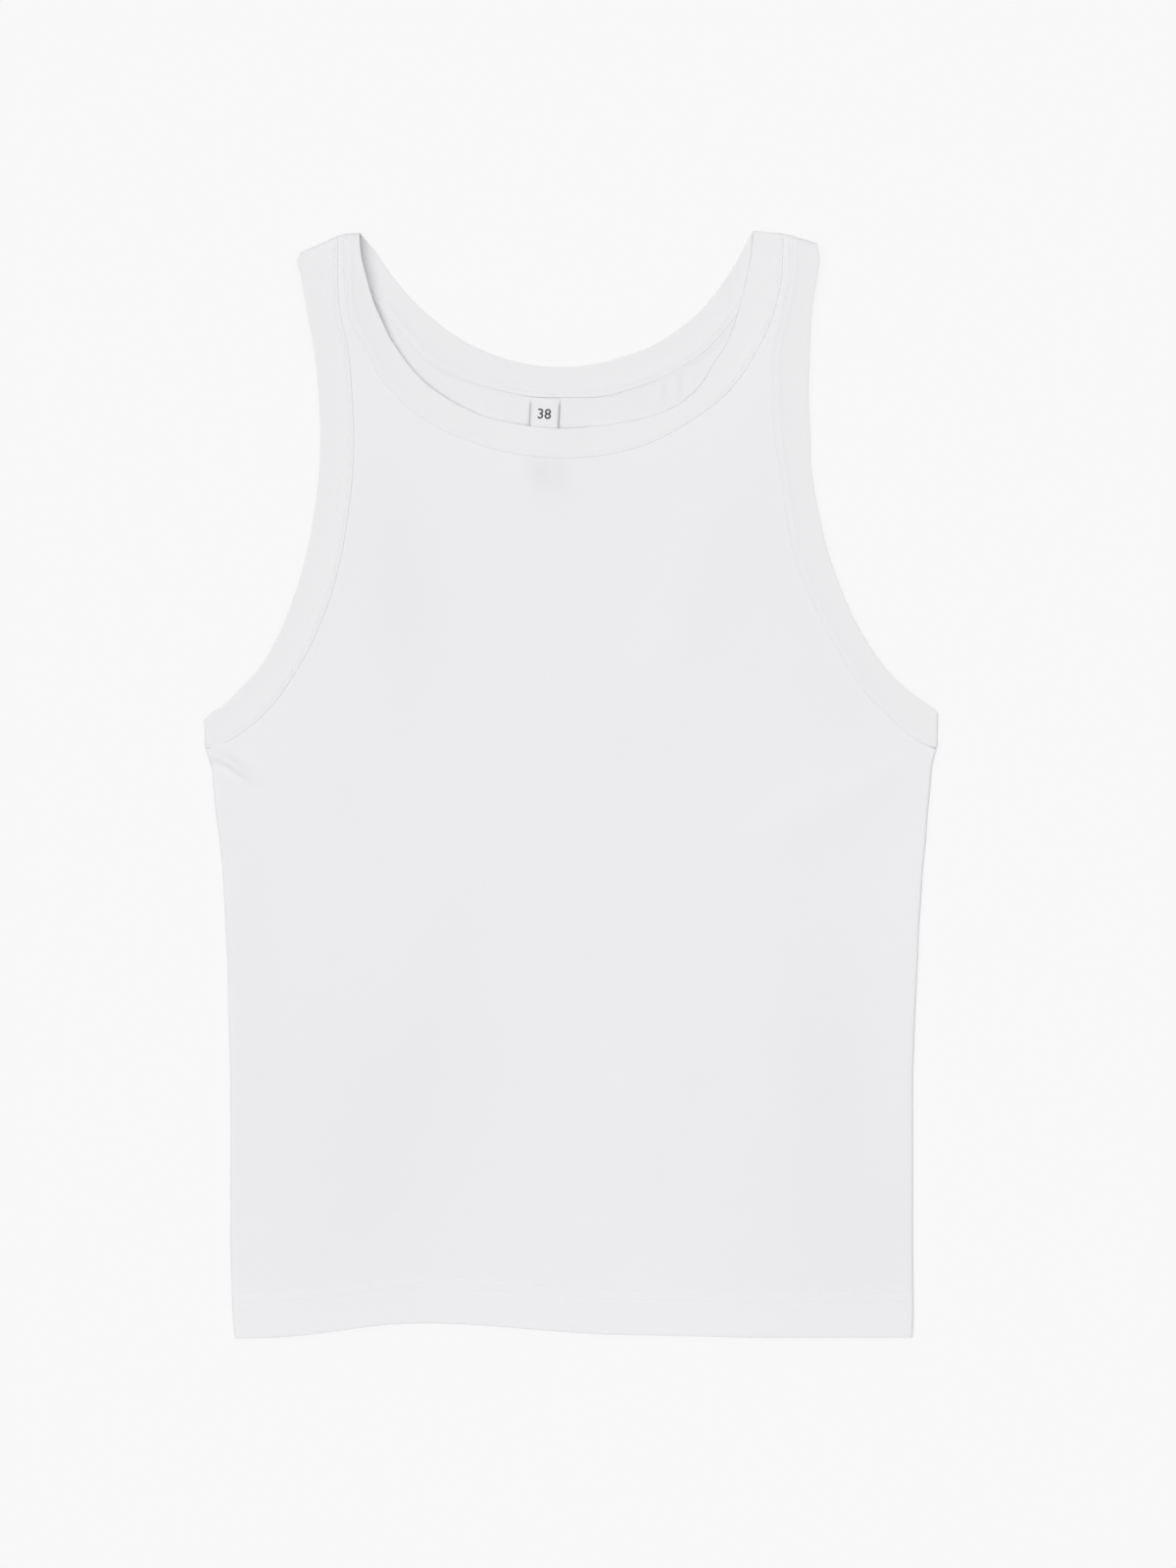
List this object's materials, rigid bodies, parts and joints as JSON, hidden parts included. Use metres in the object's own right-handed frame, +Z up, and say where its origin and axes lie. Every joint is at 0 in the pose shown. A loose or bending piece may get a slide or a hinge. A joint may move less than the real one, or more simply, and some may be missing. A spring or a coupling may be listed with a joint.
{
  "type": "tank top",
  "caption": "Sleeveless jersey tank top laid flat, front up, with a high round neck, cut-in armholes, bound edges, a turned-up hem and a small woven neck label.",
  "frame": {"origin": "middle of the underside of the garment as it lies flat", "axes": "+Y from the hem to the shoulders, +Z up from the surface that it lies on, +X to the right as seen from above (the wearer's left)"},
  "size_m": [0.398, 0.5996, 0.0061],
  "materials": {
    "jersey": "fine matt cotton jersey, white with a slightly cool cast",
    "binding_jersey": "the same white jersey, folded double and topstitched",
    "woven_label": "white woven satin label with a faint sheen"
  },
  "bodies": {
    "root": {"front_panel": "jersey", "back_panel": "jersey", "neck_binding": "binding_jersey", "armhole_binding_left": "binding_jersey", "armhole_binding_right": "binding_jersey", "neck_label": "woven_label"}
  },
  "joints": []
}
